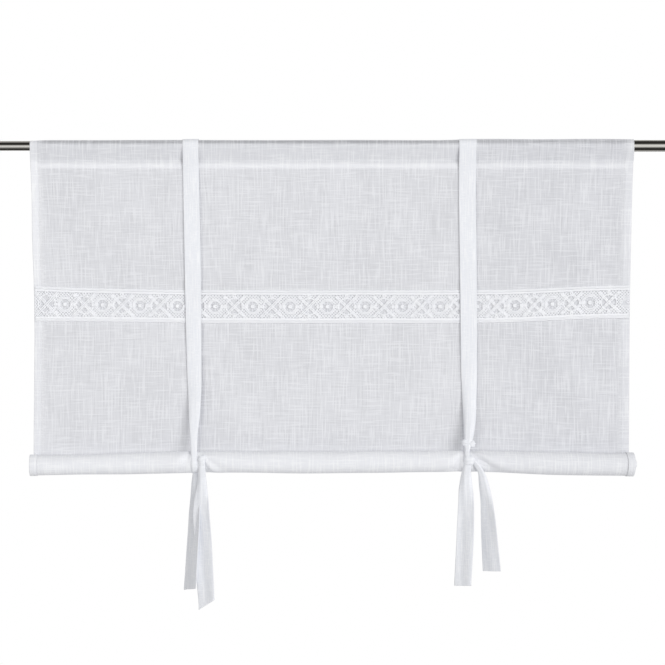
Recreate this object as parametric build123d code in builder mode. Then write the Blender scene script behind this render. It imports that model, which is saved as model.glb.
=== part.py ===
"""Tie-up roman blind of sheer slub cloth, hung on a telescopic rod.

Millimetres, +Z up, seen from -Y, with +X along the rod to the right. The origin is the middle of
the right foot's flat face, where the rod bears on a wall. The cloth is one piece: a pocket round
the rod, a flat drop with three-layer side hems, and a roll at the bottom. Two bands go over the
pocket and are knotted in front of the roll.
"""

import os
from math import acos, asin, atan2, cos, hypot, pi, radians, sin, sqrt, tan

from build123d import *

# Cloth
blind_width = 1000.0
cloth_thickness = 0.5
hem_layers = 3
side_hem_width = 12.5
pocket_drop = 23.5  # rod axis down to the top of the seam strip
seam_strip_height = 11.6
roll_drop = 525.2  # rod axis down to the roll's axis
roll_radius = 18.7  # front face of the cloth on the outermost turn
roll_pitch = 2.8  # from one turn to the next
roll_core_radius = 2.8
roll_overhang = 5.0  # how far the roll stands out past each side of the flat drop

# Lace
lace_drop = 238.0  # rod axis down to the lace's top edge
lace_height = 56.5
lace_thickness = 0.7
lace_edge = 8.0  # closely worked edge, all round
lace_repeat = 62.9
lace_shift = -7.7  # the ring nearest the middle
ring_outer_radius = 10.5
ring_inner_radius = 5.5
ring_bar_angle = 24.0
star_bar = 3.6  # from the star's crossing to its gaps
star_gap_length = 15.0
star_gap_width = 10.0

# Bands
band_width = 27.0
band_thickness = 1.0
band_leave_drop = 432.0  # where the front leg leaves the cloth for the roll
gathered_width = 11.0  # the band, bunched over the roll
gather_start_drop = 395.0
gather_end_drop = 500.0
knot_radius = 8.0  # its middle turn of cloth
knot_end_radius = 6.5  # the turns above and below that
knot_neck_radius = 5.0  # between its turns
knot_height = 27.0
knot_sink = 2.0  # how far the knot is pressed over the roll's front
tail_spread = 55.0  # below the knot, where a tail is as wide as the band again
tail_spacing = 3.0  # from the rear tail to the front one

# Each band's place from the blind's middle, and its knot's height above the roll's axis
left_band_x = -231.0
left_knot_rise = 2.5
right_band_x = 225.5
right_knot_rise = 11.0

# Each tail: sideways shift of its end, length below the knot, and rise of its cut to the right
left_rear_tail = (-9.0, 213.5, 5.0)
left_front_tail = (22.0, 241.0, 18.0)
right_rear_tail = (40.0, 194.0, 1.0)
right_front_tail = (-9.0, 217.0, 1.0)

# Rod
rod_length = 1200.0
outer_tube_radius = 9.5
outer_tube_wall = 0.8
inner_tube_shown = 122.0  # from the left foot to the outer tube's mouth, inside the pocket
inner_tube_radius = 8.0
inner_tube_wall = 0.8
inner_tube_short = 132.0  # from the inner tube's hidden end to the right foot
bush_length = 14.0
bush_flange = 1.5
guide_stem = 25.0
guide_head = 22.0
foot_wall = 2.0
foot_grip = 16.0
foot_pad = 4.0

# Fits
seat_gap = 0.3  # soft pieces to what carries them
slide_gap = 0.08  # radial, on a sliding guide
push_gap = 0.03  # radial, on a plug or a foot pushed home

blind_middle = -rod_length / 2
hem_thickness = hem_layers * cloth_thickness
panel_front = -hem_thickness / 2  # the seam strip is centred under the rod
pocket_radius = outer_tube_radius + seat_gap + hem_thickness
pocket_lean = acos((pocket_radius - cloth_thickness) / pocket_drop)
roll_y = panel_front - roll_radius
band_over_rod = pocket_radius + seat_gap
band_round_roll = roll_radius + cloth_thickness + seat_gap
bore_radius = outer_tube_radius - outer_tube_wall
inner_bore_radius = inner_tube_radius - inner_tube_wall
inner_tube_start = foot_pad - rod_length
inner_tube_end = -foot_pad - inner_tube_short
outer_tube_end = -foot_pad
outer_tube_mouth = inner_tube_start + inner_tube_shown


def teardrop(radius):
    """An arc over the top of the rod and its two tangents, which meet below it."""
    side = radius * sin(pocket_lean)
    low = -radius * cos(pocket_lean)
    with BuildSketch() as drop:
        with BuildLine():
            ThreePointArc((side, low), (0, radius), (-side, low))
            Polyline((-side, low), (0, -radius / cos(pocket_lean)), (side, low))
        make_face()
    return drop.sketch


def half_turns(outwards):
    """The roll's half-turns as the ends and middles of arcs, this far outside the front face.

    Each half-turn starts where the one before it ended and is half a pitch smaller.
    """
    arcs = []
    start = panel_front
    radius = roll_radius
    side = -1
    while radius > roll_core_radius:
        end = start + side * 2 * radius
        arcs.append(
            (
                (start - side * outwards, -roll_drop),
                ((start + end) / 2, -roll_drop + side * (radius + outwards)),
                (end + side * outwards, -roll_drop),
            )
        )
        start = end
        radius -= roll_pitch / 2
        side = -side
    return arcs


def rolled_part(thickness):
    """Side view of the roll, whose first turn starts at its back, level with its axis."""
    front = half_turns(0)
    back = half_turns(thickness)
    with BuildSketch() as roll:
        with BuildLine():
            for arc in front + back:
                ThreePointArc(*arc)
            Line(front[0][0], back[0][0])
            Line(front[-1][-1], back[-1][-1])
        make_face()
    return roll.sketch


def hanging_part(thickness):
    """Side view of the pocket, the seam strip and the flat drop, down to the roll."""
    outside = teardrop(pocket_radius)
    inside = teardrop(pocket_radius - thickness)
    with BuildSketch() as cloth:
        add(outside)
        add(inside, mode=Mode.SUBTRACT)
        with Locations((0, -pocket_drop)):
            Rectangle(hem_thickness, seam_strip_height, align=(Align.CENTER, Align.MAX))
        with Locations((panel_front, -roll_drop)):
            Rectangle(thickness, roll_drop - pocket_drop, align=Align.MIN)
    return cloth.sketch


def make_cloth():
    """The blind's one piece of cloth: plain in the middle, three layers thick at each side hem."""
    plain = (hanging_part(cloth_thickness), rolled_part(cloth_thickness))
    hem = (hanging_part(hem_thickness), rolled_part(hem_thickness))
    hem_widths = (side_hem_width, side_hem_width + roll_overhang)
    plain_half = blind_width / 2 - side_hem_width
    with BuildPart() as cloth:
        for profile in plain:
            with BuildSketch(Plane.YZ.offset(blind_middle)):
                add(profile)
            extrude(amount=plain_half, both=True)
        for side in (-1, 1):
            for profile, width in zip(hem, hem_widths):
                with BuildSketch(Plane.YZ.offset(blind_middle + side * plain_half)):
                    add(profile)
                extrude(amount=side * width)
    return cloth


def ring_gaps():
    """Three gaps of a six-sided ring, which leave a flower on bars inside it."""
    side = cos(pi / 6)
    first = pi / 6 + radians(ring_bar_angle) / 2
    last = 5 * pi / 6 - radians(ring_bar_angle) / 2

    def on_ring(radius, angle):
        reach = radius * side / cos((angle + pi / 6) % (pi / 3) - pi / 6)
        return (reach * cos(angle), reach * sin(angle))

    stops = (first, pi / 2, last)
    outer = [on_ring(ring_outer_radius, angle) for angle in stops]
    inner = [on_ring(ring_inner_radius, angle) for angle in reversed(stops)]
    with BuildSketch() as gaps:
        with PolarLocations(0, 3):
            Polygon(*outer, *inner, align=None)
    return gaps.sketch


def star_gaps():
    """Four kite-shaped gaps round a crossing, so that its bars make an X."""
    far = star_bar + star_gap_length
    wide = star_bar + star_gap_length * 2 / 3
    half = star_gap_width / 2
    with BuildSketch() as gaps:
        with PolarLocations(0, 4):
            Polygon((star_bar, 0), (wide, -half), (far, 0), (wide, half), align=None)
    return gaps.sketch


def make_lace():
    """A lace band on the front of the cloth, with rings and stars in turn along it."""
    middle = -lace_drop - lace_height / 2
    half = blind_width / 2 - lace_edge
    star_half = star_bar + star_gap_length
    reach = int(blind_width / lace_repeat)
    centres = [lace_shift + n * lace_repeat for n in range(-reach, reach + 1)]
    between = [x + lace_repeat / 2 for x in centres]
    rings = [(blind_middle + x, middle) for x in centres if abs(x) + ring_outer_radius < half]
    stars = [(blind_middle + x, middle) for x in between if abs(x) + star_half < half]
    ring = ring_gaps()
    star = star_gaps()
    with BuildPart() as lace:
        with BuildSketch(Plane.XZ.offset(-panel_front)):
            with Locations((blind_middle, middle)):
                Rectangle(blind_width, lace_height)
            with Locations(*rings):
                add(ring, mode=Mode.SUBTRACT)
            with Locations(*stars):
                add(star, mode=Mode.SUBTRACT)
        extrude(amount=lace_thickness)
    return lace


def loop_face():
    """Side view inside a band: over the pocket, down the back, under the roll, up the front.

    The back leg is the common tangent of the pocket and the roll. The front leg follows the
    pocket and the cloth, then leaves them on a tangent to the front of the roll.
    """
    roll = (roll_y, -roll_drop)
    apart = hypot(*roll)
    along = (roll[0] / apart, roll[1] / apart)
    tilt = asin((band_over_rod - band_round_roll) / apart)
    normal = (
        cos(tilt) * -along[1] + sin(tilt) * along[0],
        cos(tilt) * along[0] + sin(tilt) * along[1],
    )
    back_top = (band_over_rod * normal[0], band_over_rod * normal[1])
    back_low = (roll[0] + band_round_roll * normal[0], roll[1] + band_round_roll * normal[1])

    front = panel_front - lace_thickness - seat_gap
    front_top = (-band_over_rod * sin(pocket_lean), -band_over_rod * cos(pocket_lean))
    front_meet = (front, front_top[1] - (front - front_top[0]) * tan(pocket_lean))
    leave = (front, -band_leave_drop)
    rise = (leave[0] - roll[0], leave[1] - roll[1])
    touch = atan2(rise[1], rise[0]) + acos(band_round_roll / hypot(*rise))

    def on_roll(angle):
        return (roll[0] + band_round_roll * cos(angle), roll[1] + band_round_roll * sin(angle))

    with BuildSketch() as face:
        with BuildLine():
            ThreePointArc(front_top, (0, band_over_rod), back_top)
            Line(back_top, back_low)
            ThreePointArc(back_low, on_roll(-pi / 2), on_roll(touch))
            FilletPolyline(on_roll(touch), leave, front_meet, front_top, radius=(60.0, 30.0))
        make_face()
    return face.sketch


def bunched_outline():
    """Front view of a band: full width above, bunched where it goes over the roll."""
    top = band_over_rod + band_thickness
    bottom = roll_drop + band_round_roll + 2 * band_thickness
    with BuildSketch() as outline:
        with BuildLine():
            Polyline(
                (0, top),
                (band_width / 2, top),
                (band_width / 2, -gather_start_drop),
                (gathered_width / 2, -gather_end_drop),
                (gathered_width / 2, -bottom),
                (0, -bottom),
            )
            mirror(about=Plane.YZ)
        make_face()
    return outline.sketch


def tail_outline(shift, length, cut_rise):
    """Front view of a tail from the middle of its knot, with a slanting cut at its end."""
    share = tail_spread / length
    with BuildSketch() as outline:
        with BuildLine():
            Polyline(
                (-gathered_width / 2, 0),
                (shift * share - band_width / 2, -tail_spread),
                (shift - band_width / 2, -length - cut_rise / 2),
                (shift + band_width / 2, -length + cut_rise / 2),
                (shift * share + band_width / 2, -tail_spread),
                (gathered_width / 2, 0),
                close=True,
            )
        make_face()
    return outline.sketch


def make_knot(x, y, z):
    """A knot about its upright axis: three turns of cloth, hollowed to the roll behind them."""
    third = knot_height / 3
    bulges = (knot_end_radius, knot_radius, knot_end_radius)
    heights = [third * (n - 1.5) for n in range(4)]
    with BuildSketch() as section:
        with BuildLine():
            for n, bulge in enumerate(bulges):
                low = (knot_neck_radius, heights[n])
                high = (knot_neck_radius, heights[n + 1])
                Polyline(low, (bulge, (low[1] + high[1]) / 2), high)
            Polyline(
                (knot_neck_radius, heights[0]),
                (0, heights[0]),
                (0, heights[3]),
                (knot_neck_radius, heights[3]),
            )
        make_face()
    with BuildPart() as knot:
        with BuildSketch(Plane.XZ.offset(-y)):
            with Locations((x, z)):
                add(section.sketch)
        revolve(axis=Axis((x, y, 0), (0, 0, 1)))
        with BuildSketch(Plane.YZ.offset(x)):
            with Locations((roll_y, -roll_drop)):
                Circle(band_round_roll + band_thickness / 2)
        extrude(amount=2 * knot_radius, both=True, mode=Mode.SUBTRACT)
    return knot.part


def make_band(along, knot_rise, rear_tail, front_tail):
    """One strip of cloth: its loop round the blind, its knot, and two tails."""
    x = blind_middle + along
    inside = loop_face()
    outline = bunched_outline()
    tails = [tail_outline(*rear_tail), tail_outline(*front_tail)]
    knot_distance = band_round_roll + knot_radius - knot_sink
    knot_y = roll_y - sqrt(knot_distance**2 - knot_rise**2)
    knot_z = -roll_drop + knot_rise
    knot = make_knot(x, knot_y, knot_z)
    tail_y = roll_y - band_round_roll - band_thickness
    with BuildPart() as band:
        with BuildSketch(Plane.YZ.offset(x)):
            add(inside)
            offset(amount=band_thickness, mode=Mode.REPLACE)
            add(inside, mode=Mode.SUBTRACT)
        extrude(amount=band_width / 2, both=True)
        with BuildSketch(Plane.XZ):
            with Locations((x, 0)):
                add(outline)
        extrude(amount=3 * band_round_roll, both=True, mode=Mode.INTERSECT)
        add(knot)
        for number, tail in enumerate(tails):
            with BuildSketch(Plane.XZ.offset(-tail_y + number * tail_spacing)):
                with Locations((x, knot_z)):
                    add(tail)
            extrude(amount=band_thickness / 2, both=True)
    return band


def make_tube(radius, wall, start, end):
    """A plain tube along the rod, from one place to another."""
    with BuildPart() as tube:
        with BuildSketch(Plane.YZ.offset(start)):
            Circle(radius)
            Circle(radius - wall, mode=Mode.SUBTRACT)
        extrude(amount=end - start)
    return tube


def turned(profile):
    """A piece turned about the rod's axis from its half section, drawn as (x, radius)."""
    with BuildPart() as piece:
        with BuildSketch(Plane.XZ):
            with BuildLine():
                Polyline(*profile, close=True)
            make_face()
        revolve(axis=Axis.X)
    return piece


def make_bush():
    """Flanged ring in the outer tube's mouth, which the inner tube slides through."""
    hole = inner_tube_radius + slide_gap
    fit = bore_radius - push_gap
    flange = outer_tube_mouth - bush_flange
    return turned(
        [
            (flange, hole),
            (flange, outer_tube_radius),
            (outer_tube_mouth, outer_tube_radius),
            (outer_tube_mouth, fit),
            (outer_tube_mouth + bush_length, fit),
            (outer_tube_mouth + bush_length, hole),
        ]
    )


def make_guide():
    """Plug in the inner tube's hidden end, whose head slides in the outer tube."""
    stem = inner_bore_radius - push_gap
    head = bore_radius - slide_gap
    start = inner_tube_end - guide_stem
    end = inner_tube_end + guide_head
    return turned(
        [(start, 0), (start, stem), (inner_tube_end, stem), (inner_tube_end, head), (end, head), (end, 0)]
    )


def make_foot(tube_radius, side):
    """Cap pushed over the rod's end, whose flat pad bears on the wall or the window's reveal."""
    hole = tube_radius + push_gap
    outside = tube_radius + foot_wall
    face = 0 if side > 0 else -rod_length
    seat = face - side * foot_pad
    lip = seat - side * foot_grip
    return turned(
        [
            (face, 0),
            (face, outside),
            (lip, outside),
            (lip, hole),
            (seat, hole),
            (seat, 0),
        ]
    )


def write(piece, name):
    """Name a finished piece and write its STEP file."""
    piece.part.label = name
    export_step(piece.part, f"parts/{name}.step")


os.makedirs("parts", exist_ok=True)
write(make_cloth(), "blind_cloth")
write(make_lace(), "lace_band")
write(make_band(left_band_x, left_knot_rise, left_rear_tail, left_front_tail), "tie_band_left")
write(make_band(right_band_x, right_knot_rise, right_rear_tail, right_front_tail), "tie_band_right")
write(
    make_tube(outer_tube_radius, outer_tube_wall, outer_tube_mouth, outer_tube_end),
    "rod_outer_tube",
)
write(make_tube(inner_tube_radius, inner_tube_wall, inner_tube_start, inner_tube_end), "rod_inner_tube")
write(make_bush(), "rod_mouth_bush")
write(make_guide(), "rod_guide_plug")
write(make_foot(inner_tube_radius, -1), "rod_foot_left")
write(make_foot(outer_tube_radius, 1), "rod_foot_right")
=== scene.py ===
"""Looks of the tie-up roman blind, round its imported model.

Lengths are worked out in millimetres and written to the meshes in metres. x runs along the rod
from the blind's middle, y from front (negative) to back, and z up from the rod's axis.
"""

import bpy
import numpy as np
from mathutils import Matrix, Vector


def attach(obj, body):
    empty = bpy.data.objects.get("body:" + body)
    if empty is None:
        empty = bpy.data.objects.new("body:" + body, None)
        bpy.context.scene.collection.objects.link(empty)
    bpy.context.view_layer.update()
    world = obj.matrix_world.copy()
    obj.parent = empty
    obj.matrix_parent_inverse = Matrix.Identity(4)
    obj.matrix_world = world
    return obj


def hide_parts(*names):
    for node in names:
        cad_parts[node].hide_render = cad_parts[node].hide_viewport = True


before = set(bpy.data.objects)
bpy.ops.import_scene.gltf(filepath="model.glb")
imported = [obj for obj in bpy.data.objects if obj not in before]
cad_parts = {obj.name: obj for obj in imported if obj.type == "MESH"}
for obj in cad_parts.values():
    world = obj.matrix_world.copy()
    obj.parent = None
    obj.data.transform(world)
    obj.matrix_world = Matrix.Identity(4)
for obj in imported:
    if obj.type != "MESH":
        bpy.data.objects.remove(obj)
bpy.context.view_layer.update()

BODY = "blind_and_outer_tube"
MIDDLE = -600.0  # the blind's middle, from the right foot's face
CLOTH_WIDTH = 1000.0  # between the finished side edges
PANEL_Y = -0.65  # the flat drop's cloth
SEAM_TOP = -23.5
SEAM_BOTTOM = -35.1
POCKET_RADIUS = 10.1
TUBE_MOUTH = -474.0
ROLL_Z = -525.2  # the roll's axis, before it rises or sinks along the blind
ROLL_TURNS = 7
ROLL_CORE = 2.6
HEM_WIDTH = 12.5
HEM_EXTRA = 27.0  # what a side hem takes of the woven width
KNOTS = (-230.0, 223.0)  # where each knot pinches the roll
BAND_WIDTH = 27.0
BAND_THICKNESS = 0.9
EYE_X = -0.8  # the camera's place from the blind's middle
EYE_Z = -310.5  # and its height, which is the middle of the photograph
EYE_AWAY = 5000.0
FRAME_WIDTH = 1106.6  # what the camera sees of the blind's plane from side to side
NEARER = 0.993  # what hangs 35 mm in front of the flat drop looks that much larger from 5 m


# ---------------- shapes


def smooth(at, places, values, spread):
    """Values between measured places, straight lines averaged over the spread on both sides."""
    at = np.asarray(at, float)
    steps = np.linspace(-spread, spread, 9)
    return sum(np.interp(at + s, places, values) for s in steps) / len(steps)


def step(at, low, high):
    """0 below low, 1 above high, and between them 3t^2 - 2t^3."""
    t = np.clip((np.asarray(at, float) - low) / (high - low), 0, 1)
    return t * t * (3 - 2 * t)


def bell(at, middle, width):
    """exp(-((at - middle) / width)^2)."""
    return np.exp(-(((np.asarray(at, float) - middle) / width) ** 2))


def lengths_along(path):
    """How far along the path each of its points is."""
    return np.concatenate([[0], np.cumsum(np.linalg.norm(np.diff(path, axis=0), axis=1))])


def through(points, count):
    """A smooth path through points: Catmull-Rom cubics, then equal steps along its length."""
    points = np.asarray(points, float)
    first, second = points[:-1], points[1:]
    before = np.vstack([2 * points[0] - points[1], points[:-2]])
    after = np.vstack([points[2:], 2 * points[-1] - points[-2]])
    t = np.linspace(0, 1, 24, endpoint=False)[None, :, None]
    a, b, c, d = (p[:, None, :] for p in (before, first, second, after))
    curve = 0.5 * (
        2 * b + (c - a) * t + (2 * a - 5 * b + 4 * c - d) * t**2 + (3 * b - a - 3 * c + d) * t**3
    )
    curve = np.vstack([curve.reshape(-1, points.shape[1]), points[-1:]])
    length = lengths_along(curve)
    at = np.linspace(0, length[-1], count)
    return np.stack([np.interp(at, length, column) for column in curve.T], axis=1)


def stacked(*columns):
    """The columns side by side, each spread over the rows and columns of the others."""
    return np.stack(np.broadcast_arrays(*columns), -1)


def unit(vectors):
    """Vectors divided by their lengths."""
    return vectors / np.maximum(np.linalg.norm(vectors, axis=-1, keepdims=True), 1e-9)


def put_mesh(name, points, faces, material, uv=None, values=None):
    """One smooth object from points in mm round the blind's middle and four-cornered faces."""
    mesh = bpy.data.meshes.new(name)
    points = (np.asarray(points, float).reshape(-1, 3) + (MIDDLE, 0, 0)) * 0.001
    faces = np.asarray(faces, np.int32).reshape(-1, 4)
    mesh.vertices.add(len(points))
    mesh.vertices.foreach_set("co", points.ravel())
    mesh.loops.add(faces.size)
    mesh.loops.foreach_set("vertex_index", faces.ravel())
    mesh.polygons.add(len(faces))
    mesh.polygons.foreach_set("loop_start", np.arange(0, faces.size, 4, dtype=np.int32))
    mesh.update(calc_edges=True)
    mesh.polygons.foreach_set("use_smooth", np.ones(len(faces), bool))
    if uv is not None:
        layer = mesh.uv_layers.new(name="cloth")
        metres = np.asarray(uv, float).reshape(-1, 2) * 0.001
        layer.data.foreach_set("uv", metres[faces.ravel()].ravel())
    for key, value in (values or {}).items():
        field = mesh.attributes.new(key, "FLOAT", "POINT")
        field.data.foreach_set("value", np.asarray(value, np.float32).ravel())
    mesh.materials.append(material)
    mesh.validate()
    piece = bpy.data.objects.new(name, mesh)
    bpy.context.collection.objects.link(piece)
    return piece


def grid_faces(rows, columns, close_rows=False, close_columns=False):
    """Corners of the quads between neighbouring points of a grid, row by row."""
    row = np.arange(rows if close_rows else rows - 1)
    column = np.arange(columns if close_columns else columns - 1)
    i, j = np.meshgrid(row, column, indexing="ij")
    ni, nj = (i + 1) % rows, (j + 1) % columns
    return np.stack([i * columns + j, i * columns + nj, ni * columns + nj, ni * columns + j], -1)


def cords(name, groups, material, sides=6):
    """Threads laid in upright planes, as flattened tubes along many paths at once.

    A group is (paths, radius, flat, keep): at each point of a path the ring is
    side * r cos(a) + front * r flat sin(a), and the last ring at each end is drawn in to a point.
    keep says which of the steps between points are there, or is None for all of them.
    """
    all_points, all_faces, first = [], [], 0
    angle = np.linspace(0, 2 * np.pi, sides, endpoint=False)
    front = np.array([0.0, -1.0, 0.0])
    for paths, radius, flat, keep in groups:
        paths = np.asarray(paths, float)
        number, steps = paths.shape[:2]
        along = unit(np.gradient(paths, axis=1))
        side = unit(np.cross(along, front))
        size = np.array(np.broadcast_to(radius, (number, steps)))
        size[:, 0] *= 0.3
        size[:, -1] *= 0.3
        ring = side[:, :, None] * np.cos(angle)[:, None] + front * (flat * np.sin(angle))[:, None]
        all_points.append((paths[:, :, None] + ring * size[:, :, None, None]).reshape(-1, 3))
        faces = grid_faces(steps, sides, close_columns=True)
        keep = np.ones((number, steps - 1), bool) if keep is None else keep
        faces = faces[None] + (np.arange(number) * steps * sides)[:, None, None, None]
        all_faces.append(faces[keep].reshape(-1, 4) + first)
        first += number * steps * sides
    return put_mesh(name, np.concatenate(all_points), np.concatenate(all_faces), material)


# ---------------- materials

RGBA = {"data_type": "RGBA"}  # makes a Mix node blend colours
A, B = 6, 7  # its colour inputs A and B; its number inputs are 2 and 3

CLOTH_FINISH = {
    # what the voile and the bands' weave share: matt thread with a faint sheen
    "Roughness": 0.85, "IOR": 1.5, "Specular IOR Level": 0.25,
    "Sheen Weight": 0.08, "Sheen Roughness": 0.5,
}


def colour(text):
    """sRGB hex to linear: under 0.04045 divided by 12.92, else ((c + 0.055) / 1.055) ^ 2.4."""
    c = np.array([int(text[i : i + 2], 16) for i in (1, 3, 5)]) / 255
    return (*np.where(c <= 0.04045, c / 12.92, ((c + 0.055) / 1.055) ** 2.4), 1.0)


def add(tree, kind, inputs=(), **settings):
    """Adds a node with its settings, and links or sets its inputs, by name or in their order.

    Where an input is given as a node, it is linked from that node's first output in use.
    """
    made = tree.nodes.new("ShaderNode" + kind)
    for key, value in settings.items():
        setattr(made, key, value)
    for key, value in inputs.items() if isinstance(inputs, dict) else enumerate(inputs):
        if isinstance(value, bpy.types.Node):
            value = next(output for output in value.outputs if output.enabled)
        if isinstance(value, bpy.types.NodeSocket):
            tree.links.new(value, made.inputs[key])
        else:
            made.inputs[key].default_value = value
    return made


def new_material(name):
    """A material with an empty node tree."""
    material = bpy.data.materials.new(name)
    material.use_nodes = True
    material.node_tree.nodes.clear()
    return material, material.node_tree


def slubs(tree, place, across, along, low, high, turn=False):
    """Thick places in single threads: noise squeezed across the thread and drawn out along it.

    across and along are the slub's sizes in metres. The noise is kept from low to high.
    """
    size = (1 / along, 1 / across, 1) if turn else (1 / across, 1 / along, 1)
    scaled = add(tree, "Mapping", {"Vector": place, "Scale": size})
    noise = add(
        tree, "TexNoise", {"Vector": scaled, "Scale": 1.0, "Detail": 1.0}, noise_dimensions="2D"
    )
    return add(tree, "MapRange", {"Value": noise, "From Min": low, "From Max": high})


def woven(tree, place, pitch):
    """Height of a plain weave: one thread over, the next under, sin(x) sin(y) over the pitch."""
    waves = []
    for across in add(tree, "SeparateXYZ", (place,)).outputs[:2]:
        turns = add(tree, "Math", (across, np.pi / pitch), operation="MULTIPLY")
        waves.append(add(tree, "Math", (turns,), operation="SINE"))
    both = add(tree, "Math", waves, operation="MULTIPLY")
    return add(tree, "Math", (both, 0.5, 0.5), operation="MULTIPLY_ADD")


def sheer_slub_voile():
    """Polyester and linen voile with slub threads, woven openly, so light comes through it.

    Thick threads show as pale stripes, and thin ones as grey stripes, some four to six
    centimetres long. Where the cloth lies double or triple, as in hems and seams, it is whiter and
    hides what is behind it: the attributes white and cover say how much. The same attributes also
    carry painted light and painted shade, whiter and greyer places that stand in for how light
    falls.
    and hides what is behind it: the attributes white and cover say how much.
    """
    material, tree = new_material("slub_voile_woven_sheer")
    place = add(tree, "UVMap", uv_map="cloth")
    # A slub is 1 mm across, drawn as 2.7 and 3.2 mm so that it shows.
    upright = slubs(tree, place, 0.0027, 0.045, 0.50, 0.75)
    level = slubs(tree, place, 0.0027, 0.040, 0.52, 0.77, turn=True)
    thin_up = slubs(tree, place, 0.0032, 0.060, 0.46, 0.26)
    thin_level = slubs(tree, place, 0.0032, 0.050, 0.44, 0.24, turn=True)
    cloudy = slubs(tree, place, 0.060, 0.110, 0.30, 0.70)
    level = add(tree, "Math", (level, 0.8), operation="MULTIPLY")
    thick = add(tree, "Math", (upright, level), operation="ADD", use_clamp=True)
    thin_level = add(tree, "Math", (thin_level, 0.8), operation="MULTIPLY")
    thin = add(tree, "Math", (thin_up, thin_level), operation="ADD", use_clamp=True)
    # Thread spacing of this voile is 0.6 mm, drawn as 1.2 mm so that it shows.
    weave = woven(tree, place, 0.0012)
    cover = add(tree, "Attribute", attribute_name="cover").outputs["Fac"]
    white = add(tree, "Attribute", attribute_name="white").outputs["Fac"]
    plain = add(tree, "Mix", {0: cloudy, A: colour("#D6D7DC"), B: colour("#DCDDE2")}, **RGBA)
    share = add(tree, "Math", (thin, 0.56), operation="MULTIPLY")
    darker = add(tree, "Mix", {0: share, A: plain, B: colour("#C9CACF")}, **RGBA)
    share = add(tree, "Math", (thick, 0.6), operation="MULTIPLY")
    lighter = add(tree, "Mix", {0: share, A: darker, B: colour("#EEEFF3")}, **RGBA)
    deep = add(tree, "Mix", {0: thick, A: colour("#F1F2F6"), B: colour("#F9FAFC")}, **RGBA)
    tone = add(tree, "Mix", {0: white, A: lighter, B: deep}, **RGBA)
    open_part = add(tree, "Math", (thick, 0.08, 0.62), operation="MULTIPLY_ADD")
    open_part = add(tree, "Math", (weave, 0.04, open_part), operation="MULTIPLY_ADD")
    alpha = add(tree, "Mix", {0: cover, 2: open_part, 3: 1.0}, data_type="FLOAT")
    height = add(tree, "Math", (weave, 0.6, thick), operation="MULTIPLY_ADD")
    bump = add(tree, "Bump", {"Height": height, "Strength": 0.35, "Distance": 0.0004})
    look = {"Base Color": tone, "Alpha": alpha, "Normal": bump, **CLOTH_FINISH}
    add(tree, "OutputMaterial", {"Surface": add(tree, "BsdfPrincipled", look)})
    return material


def band_weave():
    """Opaque linen-look weave, soft and matt, with faint slubs along both threads."""
    material, tree = new_material("linen_weave_opaque")
    place = add(tree, "UVMap", uv_map="cloth")
    upright = slubs(tree, place, 0.0014, 0.040, 0.48, 0.74)
    level = slubs(tree, place, 0.0014, 0.012, 0.50, 0.76, turn=True)
    level = add(tree, "Math", (level, 0.6), operation="MULTIPLY")
    thick = add(tree, "Math", (upright, level), operation="ADD", use_clamp=True)
    # Thread spacing is 0.5 mm, drawn as 1 mm so that it shows.
    weave = woven(tree, place, 0.0010)
    tone = add(tree, "Mix", {0: thick, A: colour("#EFF1F6"), B: colour("#F9FAFD")}, **RGBA)
    height = add(tree, "Math", (weave, 0.7, thick), operation="MULTIPLY_ADD")
    bump = add(tree, "Bump", {"Height": height, "Strength": 0.4, "Distance": 0.0004})
    look = {"Base Color": tone, "Normal": bump, **CLOTH_FINISH}
    add(tree, "OutputMaterial", {"Surface": add(tree, "BsdfPrincipled", look)})
    return material


def lace_cotton():
    """White mercerised cotton of a machine lace: matt, with the thread's twist as fine ribs."""
    material, tree = new_material("cotton_lace_thread")
    place = add(tree, "TexCoord").outputs["Object"]
    # The twist is 0.4 mm, drawn as 0.9 mm so that it shows.
    fibres = add(tree, "TexNoise", {"Vector": place, "Scale": 1100.0, "Detail": 2.0})
    worn = add(tree, "TexNoise", {"Vector": place, "Scale": 60.0, "Detail": 2.0})
    tone = add(tree, "Mix", {0: worn, A: colour("#F5F6FB"), B: colour("#FCFDFF")}, **RGBA)
    bump = add(tree, "Bump", {"Height": fibres, "Strength": 0.5, "Distance": 0.0003})
    look = {
        "Base Color": tone, "Roughness": 0.75, "IOR": 1.5, "Normal": bump,
        "Specular IOR Level": 0.3, "Sheen Weight": 0.05, "Sheen Roughness": 0.4,
    }
    add(tree, "OutputMaterial", {"Surface": add(tree, "BsdfPrincipled", look)})
    return material


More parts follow.
